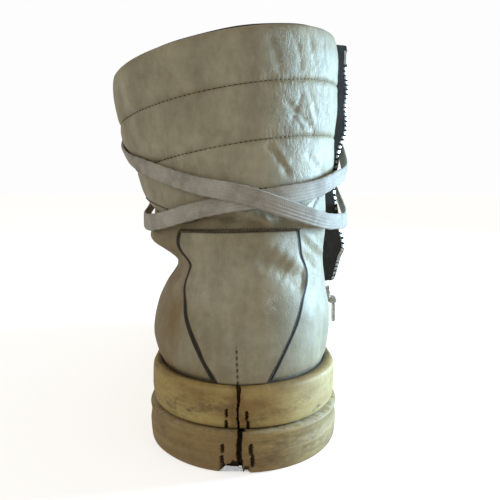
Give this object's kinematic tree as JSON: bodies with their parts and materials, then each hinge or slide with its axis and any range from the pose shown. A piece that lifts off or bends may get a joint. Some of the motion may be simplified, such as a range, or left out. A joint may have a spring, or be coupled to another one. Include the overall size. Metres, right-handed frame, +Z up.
{
  "type": "high-top sneaker",
  "caption": "Worn high-top leather sneaker for the left foot, with a quilted padded collar, an open side zip, flat laces wrapped round the ankle and a thick two-tier rubber cup sole",
  "frame": {"origin": "on the floor under the middle of the heel, at the heel's flat rest", "axes": "+Z up, +Y towards the toe, +X towards the medial side, where the zip is"},
  "size_m": [0.1227, 0.3081, 0.2054],
  "materials": {
    "leather": "aged off-white leather, creased, scuffed and yellowed",
    "rubber": "yellowed, dirty, cracked rubber",
    "lining": "dark worn lining cloth over foam",
    "lace": "flat woven cotton, greyed",
    "tape": "dark woven zip tape",
    "metal": "dull nickel-coloured metal with wear"
  },
  "bodies": {
    "shoe": {"upper": "leather", "heel_counter": "leather", "collar_rear": "leather", "collar_front": "leather", "eyestay_lateral": "leather", "eyestay_medial": "leather", "tongue": "leather", "outsole": "rubber", "midsole": "rubber", "insole": "lining", "eyelet_lateral_1": "metal", "eyelet_lateral_2": "metal", "eyelet_lateral_3": "metal", "eyelet_lateral_4": "metal", "eyelet_lateral_5": "metal", "eyelet_lateral_6": "metal", "eyelet_medial_1": "metal", "eyelet_medial_2": "metal", "eyelet_medial_3": "metal", "eyelet_medial_4": "metal", "eyelet_medial_5": "metal", "eyelet_medial_6": "metal", "lace_bar_1": "lace", "lace_bar_2": "lace", "lace_bar_3": "lace", "lace_bar_4": "lace", "lace_bar_5": "lace", "ankle_laces": "lace", "zip_tape_rear": "tape", "zip_tape_front": "tape", "zip_teeth_rear": "metal", "zip_teeth_front": "metal", "zip_stop_rear": "metal", "zip_stop_front": "metal", "zip_slider": "metal"},
    "zip_pull": {"zip_pull": "metal"}
  },
  "joints": [
    {"name": "zip_pull_hinge", "type": "hinge", "parent": "shoe", "child": "zip_pull", "pos_m": [0.0465, 0.01923, 0.05975], "axis": [0, -1, 0], "range_deg": [0, 150]}
  ]
}
